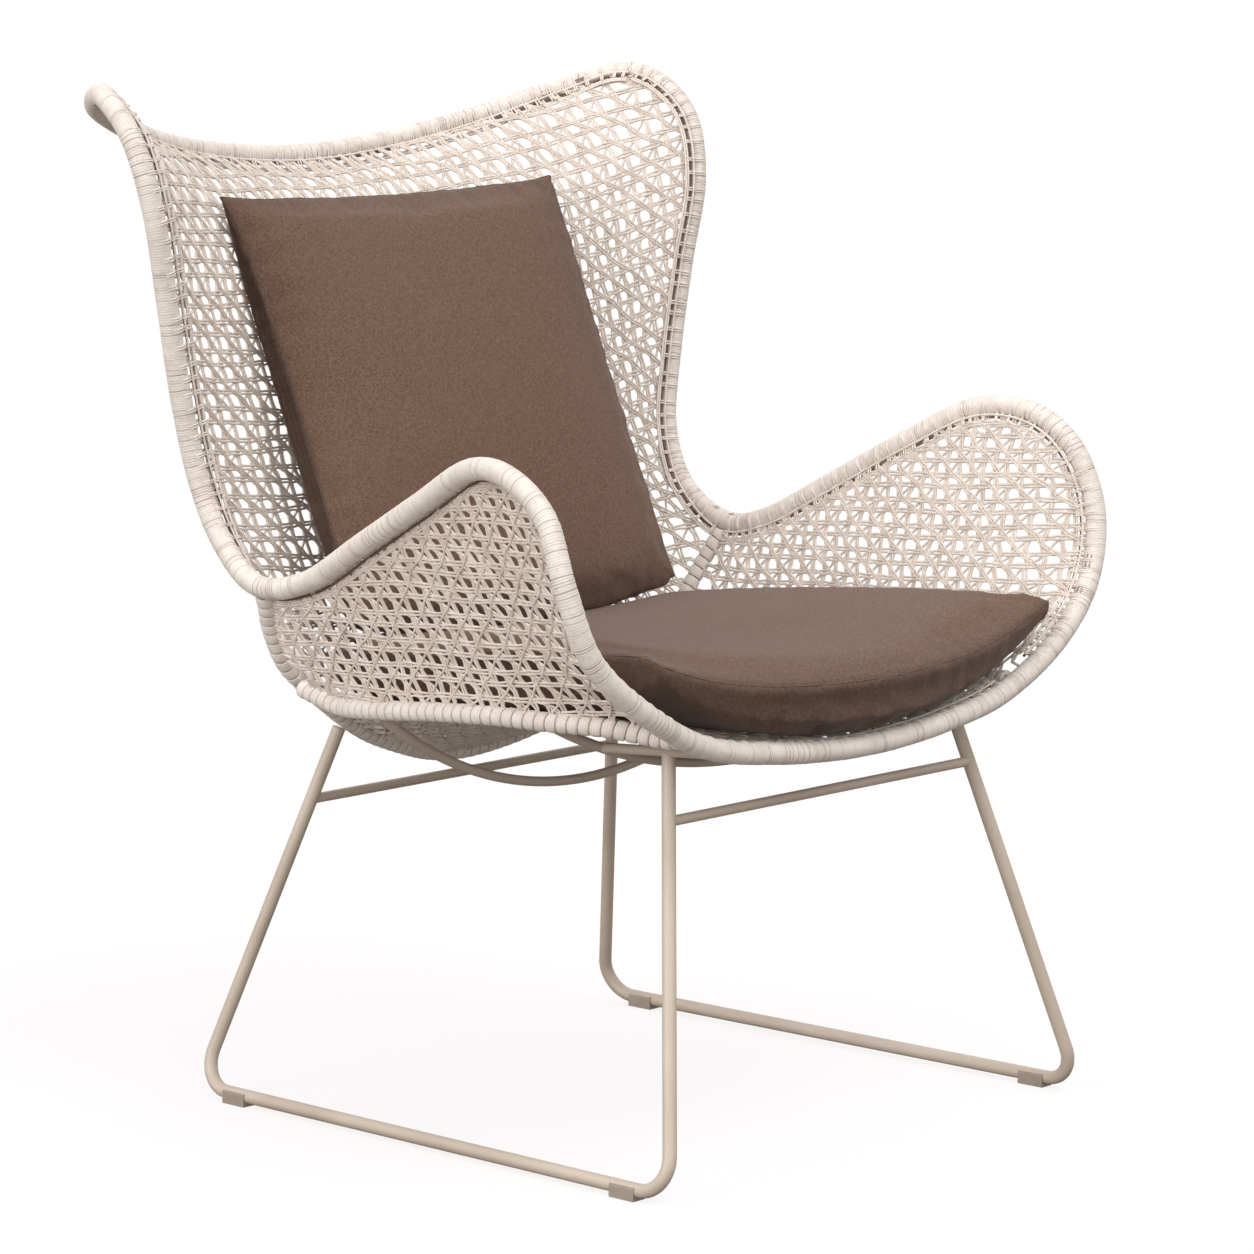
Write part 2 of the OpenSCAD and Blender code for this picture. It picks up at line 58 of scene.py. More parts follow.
# %% Place the camera
def placed(name, data):
    """A new object in the scene."""
    piece = bpy.data.objects.new(name, data)
    scene.collection.objects.link(piece)
    return piece


AZIMUTH, ELEVATION = -47.329, 8.485
DISTANCE, SHIFT_ACROSS, SHIFT_UP = 5.04466, -0.17125, 0.49379
AIM = Vector((0, -0.304, 0))


def aimed(azimuth, elevation):
    """The right, up and back axes of something that looks at the chair from an angle."""
    a, e = math.radians(azimuth), math.radians(elevation)
    back = Vector((math.sin(a) * math.cos(e), -math.cos(a) * math.cos(e), math.sin(e)))
    across = Vector((math.cos(a), math.sin(a), 0))
    return across, back.cross(across), back


across, upward, back = aimed(AZIMUTH, ELEVATION)
eye = DISTANCE * back + SHIFT_ACROSS * across + SHIFT_UP * upward + AIM
lens = bpy.data.cameras.new("camera")
lens.sensor_width = 36
lens.lens = 147.56
lens.clip_end = 300
camera = placed("camera", lens)
camera.matrix_world = Matrix((across, upward, back)).transposed().to_4x4()
camera.location = eye
scene.camera = camera
print("camera at", [round(a, 3) for a in eye])

# %% [markdown]
# ## Smooth lines through a few points
# Every bent bar of the shell follows a soft line. The same few round points that drew the
# solids are repeated here in millimetres, and a Catmull-Rom curve runs through them. A spline
# object could do it too, but a plain function gives a point and its direction anywhere, which
# the strands need later.

# %% Points of the rim, the rear hoop and the side rails
def flipped(p):
    """A point on the other side of the chair."""
    return np.asarray(p, float) * (-1, 1, 1)


def both_sides(half):
    """A closed loop of points from its left half."""
    return np.array(list(half) + [flipped(p) for p in half[-2:0:-1]], float)


RIM = both_sides([
    (0, 401, 928), (120, 401, 936), (228, 380, 956), (335, 331, 989), (383, 270, 1006),
    (398, 212, 967), (392, 189, 896), (374, 191, 809), (357, 192, 717), (341, 185, 633),
    (336, 155, 571), (341, 101, 536), (338, 36, 546), (347, -49, 591), (356, -138, 639),
    (371, -216, 677), (384, -279, 676), (389, -329, 643), (391, -356, 581), (367, -367, 513),
    (304, -375, 458), (218, -375, 416), (125, -379, 400), (50, -382, 394), (0, -383, 393)])
RIM_AIM = both_sides([
    (0, 256, 650), (40, 256, 650), (90, 256, 680), (110, 246, 740), (110, 236, 790),
    (100, 236, 830), (90, 231, 840), (90, 226, 780), (90, 221, 700), (100, 211, 620),
    (150, 186, 500), (290, 106, 400), (310, 36, 400), (310, -34, 400), (300, -114, 400),
    (295, -184, 400), (310, -204, 420), (320, -194, 440), (310, -184, 450), (280, -174, 440),
    (180, -154, 420), (150, -104, 400), (90, -104, 390), (40, -104, 385), (0, -104, 385)])
HOOP_HALF = [
    (0, 159, 324), (50, 154, 329), (100, 143, 342), (156, 136, 362), (195, 132, 383),
    (234, 126, 408), (265, 122, 430), (292, 119, 454), (314, 113, 488), (327, 105, 512),
    (335, 100, 525)]
HOOP = np.array([flipped(p) for p in HOOP_HALF[:0:-1]] + HOOP_HALF, float)
RAIL = np.array([
    (272, 112, 426), (281, 51, 416), (296, -14, 421), (300, -106, 430), (297, -183, 434),
    (286, -231, 433), (268, -285, 432), (251, -319, 427), (243, -342, 424), (241, -363, 426)], float)


def through(points, s, closed=False):
    """Catmull-Rom points at places s along the given points."""
    s = np.atleast_1d(np.asarray(s, float))
    i = np.floor(s).astype(int)
    t = (s - i)[:, None]
    n = len(points)

    def at(k):
        if closed:
            return points[k % n]
        low = 2 * points[0] - points[np.clip(-k, 0, n - 1)]
        high = 2 * points[-1] - points[np.clip(2 * n - 2 - k, 0, n - 1)]
        inner = points[np.clip(k, 0, n - 1)]
        return np.where((k < 0)[:, None], low, np.where((k >= n)[:, None], high, inner))

    a, b, c, d = at(i - 1), at(i), at(i + 1), at(i + 2)
    return 0.5 * (2 * b + (c - a) * t + (2 * a - 5 * b + 4 * c - d) * t ** 2
                  + (3 * b - a - 3 * c + d) * t ** 3)


def unit(v):
    return v / np.linalg.norm(v, axis=-1, keepdims=True)


def mix(a, b, t):
    return a * (1 - np.asarray(t)) + b * np.asarray(t)


RIM_END, HOOP_END, RAIL_END = len(RIM), len(HOOP_HALF) - 1, len(RAIL) - 1


def rim_at(s):
    """The rim's centre line: 0 at the top, 24 at the front, and round again."""
    return through(RIM, s, True)


def hoop_at(s):
    """The rear hoop's centre line: 0 in the middle, 10 at the left waist."""
    return through(HOOP, np.asarray(s) + HOOP_END)


def rail_at(s):
    """The left side rail's centre line, from the rear hoop to the front rim."""
    return through(RAIL, s)


def mirrored(line):
    return lambda s: line(s) * (-1, 1, 1)


def rim_axes(s):
    """Out of the shell, and into the panel, at places s on the rim."""
    s = np.atleast_1d(s)
    along = unit(rim_at(s + 0.02) - rim_at(s - 0.02))
    out = unit(np.cross(along, through(RIM_AIM, s, True) - rim_at(s)))
    return out, np.cross(out, along)


def travelled(points):
    """How far each point lies along the line of points."""
    return np.concatenate([[0], np.cumsum(np.linalg.norm(np.diff(points, axis=0), axis=1))])


for name, line, start, stop in (
        ("rim", rim_at, 0, RIM_END), ("hoop", hoop_at, -HOOP_END, HOOP_END),
        ("rail", rail_at, 0, RAIL_END)):
    print("%s: %.2f m" % (name, travelled(line(np.linspace(start, stop, 2000)))[-1] / 1000))

# %% [markdown]
# ## Surfaces of the four woven panels
# A panel is stretched between four edges, like a soap film on a bent wire. We fade each edge
# into the middle with a hyperbolic sine, as the solids do, and keep a fine grid of points. The
# weave is later cast onto that grid like a shadow. Strands modelled one by one in the air
# would have to find the same surface again and again.

# %% Stretch the panels
RIM_R, HOOP_R, RAIL_R = 11, 8.4, 9.4  # radii with the winding on, in millimetres
FLAT_GAP, END_GAP = 2.1, 1.2  # from a winding to the middle of a panel beside it, or square to it
LASH = math.radians(36)  # how far round the rim a panel is lashed
WAIST, TIP, FRONT = 11, 4, 19.5  # places on the rim where its windings meet
SIDE_CORNER, SEAT_CORNER = 20.4, 20.9  # where on the rim the arm panels end and the seat starts


def square_to(v, along):
    """A direction, with the part along the line taken out."""
    along = unit(along)
    v = np.broadcast_to(np.array(v, float), along.shape)
    return unit(v - (v * along).sum(-1, keepdims=True) * along)


def beside(line, radius, towards):
    """An edge that runs beside a bar, on the side that faces towards."""
    def edge(s):
        s = np.atleast_1d(s)
        return line(s) + radius * square_to(towards, line(s + 0.02) - line(s - 0.02))
    return edge


def rim_edge(s):
    """Where a panel meets the rim."""
    out, inward = rim_axes(s)
    return rim_at(s) + (RIM_R + FLAT_GAP) * (math.cos(LASH) * inward - math.sin(LASH) * out)


def fade(k, t):
    """One at an edge, falling to nothing at the far edge; a larger k falls faster."""
    return np.sinh(k * (1 - t)) / np.sinh(k)


CELLS = 150


def panel(bottom, top, first, last, k_rows, k_cols):
    """A fine grid of points, stretched between the four edges of a panel."""
    side = np.linspace(0, 1, CELLS + 1)
    u, v = [g.ravel() for g in np.meshgrid(side, side)]
    U, V = u[:, None], v[:, None]
    p00, p10, p01, p11 = first(0.0), last(0.0), first(1.0), last(1.0)
    grid = (mix(mix(p00, p10, U), mix(p01, p11, U), V)
            + fade(k_rows, V) * (bottom(u) - mix(p00, p10, U))
            + fade(k_rows, 1 - V) * (top(u) - mix(p01, p11, U))
            + fade(k_cols, U) * (first(v) - mix(p00, p01, V))
            + fade(k_cols, 1 - U) * (last(v) - mix(p10, p11, V)))
    return grid.reshape(CELLS + 1, CELLS + 1, 3)


def span(edge, start, stop):
    """An edge that runs from start to stop while t runs from 0 to 1."""
    return lambda t: edge(mix(start, stop, t))


def straight(a, b):
    return lambda t: mix(a, b, np.atleast_1d(t)[:, None])


hoop_up = beside(hoop_at, HOOP_R + END_GAP, (0, 0.35, 1))
hoop_fore = beside(hoop_at, HOOP_R + END_GAP, (0, -1, 0))
hoop_seat = beside(hoop_at, HOOP_R + END_GAP, (0, -1, 0.35))
rail_up = beside(rail_at, RAIL_R + END_GAP, (0.35, 0, 1))
rail_in = beside(rail_at, RAIL_R + FLAT_GAP, (-1, 0, 0.5))
back_panel = panel(
    span(hoop_up, -HOOP_END, HOOP_END), span(rim_edge, -TIP, TIP),
    span(rim_edge, -WAIST, -TIP), span(rim_edge, WAIST, TIP), 2.2, 2.8)
arm_panel = panel(
    span(rail_up, 0.3, RAIL_END - 0.5), span(rim_edge, WAIST + 0.15, SIDE_CORNER),
    span(hoop_fore, 6.5, HOOP_END), straight(rail_up(RAIL_END - 0.5), rim_edge(SIDE_CORNER)), 2, 4)
seat_panel = panel(
    span(hoop_seat, -6, 6), span(rim_edge, RIM_END - SEAT_CORNER, SEAT_CORNER),
    mirrored(span(rail_in, 0.2, RAIL_END - 0.2)), span(rail_in, 0.2, RAIL_END - 0.2), 2.8, 3.2)
for name, grid in (("back", back_panel), ("arm", arm_panel), ("seat", seat_panel)):
    print(name, "panel, middle at", grid[CELLS // 2, CELLS // 2].round(0))

# %% [markdown]
# ## Patterns that several finishes share
# Effects such as fine grain, cloth threads and soft dirt are used by more than one finish.
# Each is a node group with named sockets, built once. Groups only hand out numbers, colours
# and heights. The shader itself stays in each material, where its values are easy to find.

# %% Build the shared pattern groups
def new_group(name, inputs, outputs):
    """A node group with named sockets, and the nodes where its values come in and go out."""
    group = bpy.data.node_groups.new(name, "ShaderNodeTree")
    for label, kind, value in inputs:
        socket = group.interface.new_socket(label, in_out="INPUT", socket_type=kind)
        if value is not None:
            socket.default_value = value
    for label, kind in outputs:
        group.interface.new_socket(label, in_out="OUTPUT", socket_type=kind)
    return group, group.nodes.new("NodeGroupInput"), group.nodes.new("NodeGroupOutput")


def add(tree, kind, **values):
    """A node with its plain settings and unlinked sockets filled in."""
    node = tree.nodes.new("ShaderNode" + kind)
    for key, value in values.items():
        if hasattr(node, key):
            setattr(node, key, value)
        else:
            node.inputs[key.replace("_", " ")].default_value = value
    return node


def maths(tree, operation, a, b=None):
    """One sum; a and b are numbers or sockets."""
    node = tree.nodes.new("ShaderNodeMath")
    node.operation = operation
    for socket, value in zip(node.inputs, (a, b)):
        if value is None:
            continue
        if isinstance(value, (int, float)):
            socket.default_value = value
        else:
            tree.links.new(value, socket)
    return node.outputs[0]


def scaled(tree, vector, scale):
    node = add(tree, "VectorMath", operation="SCALE")
    tree.links.new(vector, node.inputs[0])
    if isinstance(scale, (int, float)):
        node.inputs["Scale"].default_value = scale
    else:
        tree.links.new(scale, node.inputs["Scale"])
    return node.outputs[0]


def noise_at(tree, vector, scale):
    node = add(tree, "TexNoise", Scale=1.0, Detail=2.0, Roughness=0.55)
    tree.links.new(scaled(tree, vector, scale), node.inputs["Vector"])
    return node.outputs["Fac"]


# soft variation: big cloudy patches and small flecks, both around one half
patches, entry, leave = new_group(
    "soft_variation",
    [("Vector", "NodeSocketVector", None), ("Patch Scale", "NodeSocketFloat", 6.0),
     ("Fleck Scale", "NodeSocketFloat", 300.0)],
    [("Patches", "NodeSocketFloat"), ("Flecks", "NodeSocketFloat")])
for size, result in (("Patch Scale", "Patches"), ("Fleck Scale", "Flecks")):
    cloud = noise_at(patches, entry.outputs["Vector"], entry.outputs[size])
    patches.links.new(cloud, leave.inputs[result])

# cloth threads: plain weave seen from three sides, blended by the way the surface faces
threads, entry, leave = new_group(
    "cloth_threads",
    [("Vector", "NodeSocketVector", None), ("Normal", "NodeSocketVector", None),
     ("Threads per Metre", "NodeSocketFloat", 600.0)],
    [("Height", "NodeSocketFloat"), ("Thread Tone", "NodeSocketFloat")])
parts = add(threads, "SeparateXYZ")
counted = scaled(threads, entry.outputs["Vector"], entry.outputs["Threads per Metre"])
threads.links.new(counted, parts.inputs[0])
faces = add(threads, "SeparateXYZ")
threads.links.new(entry.outputs["Normal"], faces.inputs[0])
waves = [maths(threads, "SINE", maths(threads, "MULTIPLY", parts.outputs[k], 3.14159)) for k in range(3)]
total = None
for k, (a, b) in enumerate(((1, 2), (0, 2), (0, 1))):
    weight = maths(threads, "POWER", maths(threads, "ABSOLUTE", faces.outputs[k]), 2.0)
    cell = maths(threads, "MULTIPLY", maths(threads, "MULTIPLY", waves[a], waves[b]), weight)
    total = cell if total is None else maths(threads, "ADD", total, cell)
threads.links.new(total, leave.inputs["Height"])
wobble = noise_at(threads, entry.outputs["Vector"], 620.0)
tone = maths(threads, "ADD", maths(threads, "MULTIPLY", total, 0.25), wobble)
threads.links.new(tone, leave.inputs["Thread Tone"])
print("pattern groups:", [g.name for g in bpy.data.node_groups])

# %% [markdown]
# ## Finishes
# The bars have a fine powder coat, the weave and the windings are pale strands, the glides are
# dull plastic, and the cushions are brown heathered cloth. Each finish is a Principled shader
# whose colour, roughness and bump come from the shared groups, in Object coordinates, so the
# grain has the same size on every piece. Plain constants are set straight on the shader. A
# painted map would need unwrapping; an attribute called crease paints shade into folds and gaps
# instead. A darker copy of the coat and a dark cord are painted shade as well.

# %% Write the finishes
def to_linear(rgb):
    """Screen colours from 0 to 255, as the linear values that shaders use."""
    return tuple(((c / 255 + 0.055) / 1.055) ** 2.4 if c > 10 else c / 255 / 12.92 for c in rgb)


def started(name, **constants):
    """A new material with its constants set, and the socket with its object coordinates."""
    material = bpy.data.materials.new(name)
    material.use_nodes = True
    tree = material.node_tree
    shader = tree.nodes["Principled BSDF"]
    for key, value in constants.items():
        shader.inputs[key.replace("_", " ")].default_value = value
    place = tree.nodes.new("ShaderNodeTexCoord")
    return material, tree, shader, place.outputs["Object"]


def use_group(tree, group, links, **values):
    """A shared group put to work in a tree; gives its outputs."""
    node = tree.nodes.new("ShaderNodeGroup")
    node.node_tree = group
    for key, value in values.items():
        node.inputs[key.replace("_", " ")].default_value = value
    for key, value in links.items():
        tree.links.new(value, node.inputs[key])
    return node.outputs


def varied(tree, place, patch, fleck):
    """Soft patches and flecks, with about so many of each in a metre."""
    return use_group(tree, patches, {"Vector": place}, Patch_Scale=patch, Fleck_Scale=fleck)


def between(tree, factor, low, high, start=0.3, stop=0.7):
    """A colour that goes from low to high as the factor rises."""
    ramp = tree.nodes.new("ShaderNodeValToRGB")
    ramp.color_ramp.elements[0].position, ramp.color_ramp.elements[1].position = start, stop
    ramp.color_ramp.elements[0].color = (*to_linear(low), 1)
    ramp.color_ramp.elements[1].color = (*to_linear(high), 1)
    tree.links.new(factor, ramp.inputs[0])
    return ramp.outputs[0]


def blended(tree, factor, a, b):
    """A colour between a and b; each of the three is a value or a socket."""
    node = tree.nodes.new("ShaderNodeMix")
    node.data_type = "RGBA"
    for socket, value in ((node.inputs[0], factor), (node.inputs[6], a), (node.inputs[7], b)):
        if isinstance(value, (int, float)):
            socket.default_value = value
        elif isinstance(value, tuple):
            socket.default_value = (*to_linear(value), 1)
        else:
            tree.links.new(value, socket)
    return node.outputs[2]


def ranged(tree, factor, low, high):
    """A noise value stretched to run from low to high."""
    node = add(tree, "MapRange", From_Min=0.3, From_Max=0.7, To_Min=low, To_Max=high)
    tree.links.new(factor, node.inputs["Value"])
    return node.outputs["Result"]


def bumped(tree, shader, height, strength, distance):
    node = add(tree, "Bump", Strength=strength, Distance=distance)
    tree.links.new(height, node.inputs["Height"])
    tree.links.new(node.outputs["Normal"], shader.inputs["Normal"])


def crease_shaded(tree, share, colour, dark):
    """A colour with painted shade: dark where the crease attribute of the mesh says so."""
    crease = tree.nodes.new("ShaderNodeAttribute")
    crease.attribute_name = "crease"
    factor = maths(tree, "MULTIPLY", crease.outputs["Fac"], share)
    return blended(tree, factor, colour, dark)


def coated_metal(name, shade, light):
    material, tree, shader, place = started(name, Metallic=0.0, Coat_Weight=0.12, Coat_Roughness=0.35)
    tone = varied(tree, place, 9.0, 1400.0)
    colour = between(tree, tone["Patches"], shade, light)
    flecked = blended(tree, ranged(tree, tone["Flecks"], 0.0, 0.16), colour, light)
    tree.links.new(flecked, shader.inputs["Base Color"])
    tree.links.new(ranged(tree, tone["Flecks"], 0.42, 0.56), shader.inputs["Roughness"])
    bumped(tree, shader, tone["Flecks"], 0.25, 0.0003)
    return material


def strand_finish(name, shade, light, grain):
    material, tree, shader, place = started(name, Sheen_Weight=0.15, Sheen_Roughness=0.5)
    tone = varied(tree, place, 55.0, grain)
    colour = between(tree, tone["Patches"], shade, light)
    flecked = blended(tree, ranged(tree, tone["Flecks"], 0.0, 0.35), colour, shade)
    spots = varied(tree, place, 190.0, 420.0)
    specks = between(tree, spots["Patches"], (0, 0, 0), (105, 105, 105), 0.54, 0.68)
    worn = blended(tree, specks, flecked, (150, 126, 108))
    # painted shade: the crease attribute darkens the windings between their turns
    tree.links.new(crease_shaded(tree, 0.85, worn, (116, 92, 76)), shader.inputs["Base Color"])
    tree.links.new(ranged(tree, tone["Flecks"], 0.55, 0.75), shader.inputs["Roughness"])
    bumped(tree, shader, tone["Flecks"], 0.35, 0.0004)
    return material


def cloth(name, shade, light):
    material, tree, shader, place = started(
        name, Sheen_Weight=0.12, Sheen_Roughness=0.45, Roughness=0.92, Specular_IOR_Level=0.2)
    facing = tree.nodes.new("ShaderNodeTexCoord").outputs["Normal"]
    weave = use_group(tree, threads, {"Vector": place, "Normal": facing}, Threads_per_Metre=720.0)
    tone = varied(tree, place, 5.0, 430.0)
    heather = between(tree, tone["Flecks"], shade, light, 0.33, 0.67)
    worn = blended(tree, ranged(tree, tone["Patches"], 0.0, 0.22), heather, light)
    dark = blended(tree, ranged(tree, weave["Thread Tone"], 0.0, 0.3), worn, shade)
    # painted shade: the crease attribute darkens the cloth in seams and folds, on its flanks and underneath
    tree.links.new(crease_shaded(tree, 1.0, dark, (44, 32, 25)), shader.inputs["Base Color"])
    tree.links.new(ranged(tree, tone["Flecks"], 0.86, 0.97), shader.inputs["Roughness"])
    bumped(tree, shader, maths(tree, "ADD", weave["Height"], tone["Flecks"]), 0.3, 0.0005)
    return material


bar_coat = coated_metal("taupe_powder_coat", (184, 167, 150), (202, 186, 170))
# painted shade: a darker copy of the bar coat for rods seen only in the gaps between turns
shaded_inner_coat = coated_metal("inner_bar_shaded_coat", (120, 104, 90), (140, 124, 110))
weave_strand = strand_finish("weave_strand", (209, 194, 181), (235, 223, 212), 900.0)
winding_strand = strand_finish("winding_strand", (224, 212, 200), (241, 232, 223), 1100.0)
strap_strand = strand_finish("strap_strand", (228, 216, 205), (243, 235, 227), 700.0)
glide_plastic = strand_finish("glide_plastic", (150, 136, 122), (164, 150, 136), 500.0)
brown_cloth = cloth("brown_cloth", (94, 70, 57), (128, 102, 87))
# painted shade: a dark cord that stands for the shade under the rim
painted_shade_cord = strand_finish("painted_shade_cord", (92, 72, 58), (126, 103, 86), 900.0)
seam_thread = strand_finish("seam_thread", (70, 52, 42), (84, 64, 53), 900.0)
print("materials:", [m.name for m in bpy.data.materials])

# %% [markdown]
# ## Bare bars and glides
# The legs, runners, crossbars and hoops are already the right shape, so they keep their solid
# and only get the coat. The rods inside the windings get a darker copy of the coat as painted
# shade, because all that is ever seen of them is a dark gap between two turns.

# %% Coat the bars
def finish_solid(node, material):
    """One finish for the whole of a solid that stays as it is."""
    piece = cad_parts[node]
    if not piece.material_slots:
        piece.data.materials.append(material)
    for place in piece.material_slots:
        place.material = material


for material, nodes in (
        (bar_coat, ("right_sled_frame", "left_sled_frame", "front_crossbar", "rear_crossbar",
                    "middle_hoop", "front_hoop", "right_front_stub", "left_front_stub")),
        (shaded_inner_coat, ("rim_tube", "rear_hoop_rod", "right_side_rail_rod", "left_side_rail_rod")),
        (glide_plastic, ("right_front_glide", "left_front_glide", "right_rear_glide", "left_rear_glide"))):
    for node in nodes:
        finish_solid(node, material)
    print(len(nodes), "solids in", material.name)

# %% [markdown]
# ## Strands as curves
# A woven panel has some hundred metres of thin cord. As meshes, each cord would be work to
# write. A curve with a round bevel is a cord already: we only give it the line it follows.
# Many lines go into one curve object, so a whole family of cords stays one piece.

# %% A helper that lays cords
MM = 0.001


def cords(name, lines, radius, material, sides=6):
    """Round cords along lines of points, all in one piece; sizes are in millimetres."""
    curve = bpy.data.curves.new(name, "CURVE")
    curve.dimensions = "3D"
    curve.bevel_depth = radius * MM
    curve.bevel_resolution = (sides - 4) // 2
    curve.use_fill_caps = True
    for line in lines:
        spline = curve.splines.new("POLY")
        spline.points.add(len(line) - 1)
        flat = np.ones((len(line), 4))
        flat[:, :3] = np.asarray(line) * MM
        spline.points.foreach_set("co", flat.ravel())
        spline.use_smooth = True
    curve.materials.append(material)
    piece = placed(name, curve)
    metres = sum(travelled(np.asarray(line))[-1] for line in lines) / 1000
    print("%s: %d cords, %.1f m" % (name, len(lines), metres))
    return piece


def dress(piece, body, slot, *nodes):
    """Says which body a piece rides on and which solids it stands for; slot is not used."""
    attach(piece, body)
    if nodes:
        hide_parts(*nodes)
    return piece


# %% [markdown]
# ## The wound rim, rails and rear hoop
# A cord is wound round the rim tube, turn beside turn, and the side rails and the rear hoop
# are bound with a wider soft strap. A texture of fine lines could suggest it, but then the
# outline would be smooth. We make a smooth tube from a beveled curve, turn it into a mesh,
# and press the crease between two turns into it, all the way along, as a fine screw line.
# Shade is painted into that crease, so that it shows dark.

# %% Wind the rim and strap the rails
def evenly(line, start, stop, step):
    """Places along a line, from start to stop, about a step apart in millimetres."""
    s = np.linspace(start, stop, 600)
    far = travelled(line(s))
    return np.interp(np.linspace(0, far[-1], max(2, int(round(far[-1] / step)) + 1)), far, s)


def spots_of(mesh):
    """Where the points of a mesh are, in metres, one row each."""
    return np.array([v.co[:] for v in mesh.vertices])


def normals_of(mesh):
    return np.array([v.normal[:] for v in mesh.vertices])


def move_to(mesh, spots):
    mesh.vertices.foreach_set("co", spots.ravel())


def mark_crease_shade(mesh, dark):
    """Writes how much painted shade each point gets, for the finishes to read."""
    mesh.attributes.new("crease", "FLOAT", "POINT").data.foreach_set("value", dark)


def tube_mesh(name, centre, radius, sides):
    """A beveled curve turned into a mesh, its points, and the number of the centre of each."""
    tube = cords(name + "_line", [centre], radius, strap_strand, sides)
    mesh = bpy.data.meshes.new_from_object(tube.evaluated_get(bpy.context.evaluated_depsgraph_get()))
    bpy.data.objects.remove(tube)
    spots = spots_of(mesh) / MM
    return mesh, spots, np.array([np.argmin(((centre - p) ** 2).sum(1)) for p in spots])


def pulse(phase, width):
    """One at a whole number, falling to nothing within a width."""
    away = np.minimum(phase % 1, 1 - phase % 1)
    return np.exp(-(away / width) ** 2)


def wound(name, line, start, stop, radius, step, sides, shape, axes=None):
    """A wound tube. shape says how far its skin lies under the full radius, and how much shade is painted
    on it.
    """
    s = evenly(line, start, stop, step)
    centre = line(s)
    mesh, spots, place = tube_mesh(name, centre, radius, sides)
    if axes:
        first, second = axes(s)
    else:
        along = unit(np.gradient(centre, axis=0))
        first = unit(np.cross(along, (0, 0.3, 1)))
        second = np.cross(along, first)
    off = spots - centre[place]
    turn = np.arctan2((off * second[place]).sum(1), (off * first[place]).sum(1)) / (2 * math.pi)
    under, dark = shape(travelled(centre)[place], turn)
    move_to(mesh, (centre[place] + off * (1 - under / radius)[:, None]) * MM)
    # painted shade: darker in the crease between turns
    mark_crease_shade(mesh, np.clip(dark, 0, 1))
    mesh.shade_smooth()
    mesh.materials.clear()
    mesh.materials.append(strap_strand)
    return placed(name, mesh)


WIND_PITCH, STRAP_PITCH = 2.6, 11.7  # from one turn to the next
WIND_STEP, WIND_SIDES = 0.68, 14  # how fine the tubes are, along and round
STRAP_STEP, STRAP_SIDES = 0.75, 18
LUCK = np.random.RandomState(21).uniform(0, 1, 4096)  # chance, one number for each turn


def fine_turns(far, turn):
    """Turns of thin cord; now and then two of them part, or one stands higher. Shade is painted into the
    crease between two turns, more where they part.
    """
    count = (far + 1.2 * np.sin(far / 37) + 0.7 * np.sin(far / 11)) / WIND_PITCH + 0.6 * turn
    nearest = LUCK[np.round(count).astype(int) % len(LUCK)]
    parted = np.clip((nearest - 0.72) / 0.2, 0, 1)
    crease = pulse(count, 0.2)
    lower = 0.22 * LUCK[(np.floor(count).astype(int) + 977) % len(LUCK)]
    return (0.25 + 0.45 * parted) * crease + lower, (0.3 + 0.7 * parted) * crease


def strap_turns(far, turn):
    """Soft bulging turns of a strap, with fine strands across its width. Shade is painted into the folds
    between turns and along the fine strands.
    """
    count = (far + 0.9 * np.sin(far / 29)) / STRAP_PITCH + 0.35 * turn
    belly = np.abs(np.sin(math.pi * count)) ** 0.5
    fold, fine = pulse(count, 0.05), pulse(count * 4, 0.22)
    return 0.9 * (1 - belly) + 1.1 * fold + 0.12 * fine, fold + 0.22 * fine


for node, start, stop in (
        ("top_rim_wrap", -TIP, TIP), ("right_wing_wrap", -WAIST, -TIP), ("left_wing_wrap", TIP, WAIST),
        ("right_arm_wrap", -FRONT, -WAIST), ("left_arm_wrap", WAIST, FRONT),
        ("front_rim_wrap", FRONT, RIM_END - FRONT)):
    piece = wound(node.replace("wrap", "winding"), rim_at, start - 0.03, stop + 0.03,
                  RIM_R, WIND_STEP, WIND_SIDES, fine_turns, rim_axes)
    dress(piece, "frame", "winding", node)
for node, line, start, stop, radius in (
        ("rear_hoop_wrap", hoop_at, -HOOP_END, HOOP_END, HOOP_R),
        ("left_side_rail_wrap", rail_at, 0, RAIL_END, RAIL_R),
        ("right_side_rail_wrap", mirrored(rail_at), 0, RAIL_END, RAIL_R)):
    piece = wound(node.replace("wrap", "strap"), line, start, stop,
                  radius + 0.2, STRAP_STEP, STRAP_SIDES, strap_turns)
    dress(piece, "frame", "winding", node)

# %% [markdown]
# ## The weave
# The panels are woven like chair cane. Bands run across, pairs of strands run down at half
# the spacing, and two families of diagonals cross between them. Where a cell is free of the
# diagonals it opens into a large round hole, and the cells beside it hold two small triangles.
# Neighbouring rows are shifted by half a period, so the large holes sit like bricks.
# Every family is a set of straight lines on one lattice; a map bends the lattice onto a panel.
# A cut sheet with holes could show the pattern, but not strands that pass over and under each
# other. The end of every strand is led on into the winding beside it, so that none stops short.

# %% Lay strands over a panel
def drift(x, y, size, seed):
    """A slow wander that all strands share, so the weave looks made by hand."""
    rule = np.random.RandomState(seed)
    total = np.zeros_like(x)
    for _ in range(7):
        a, b, c = rule.uniform(-1.3, 1.3), rule.uniform(-1.3, 1.3), rule.uniform(0, 6.3)
        total = total + np.sin(a * x + b * y + c)
    return total * size / 2.6


def finder_of(places):
    """A search tree that finds the nearest of many places."""
    finder = KDTree(len(places))
    for number, place in enumerate(places):
        finder.insert(place, number)
    finder.balance()
    return finder


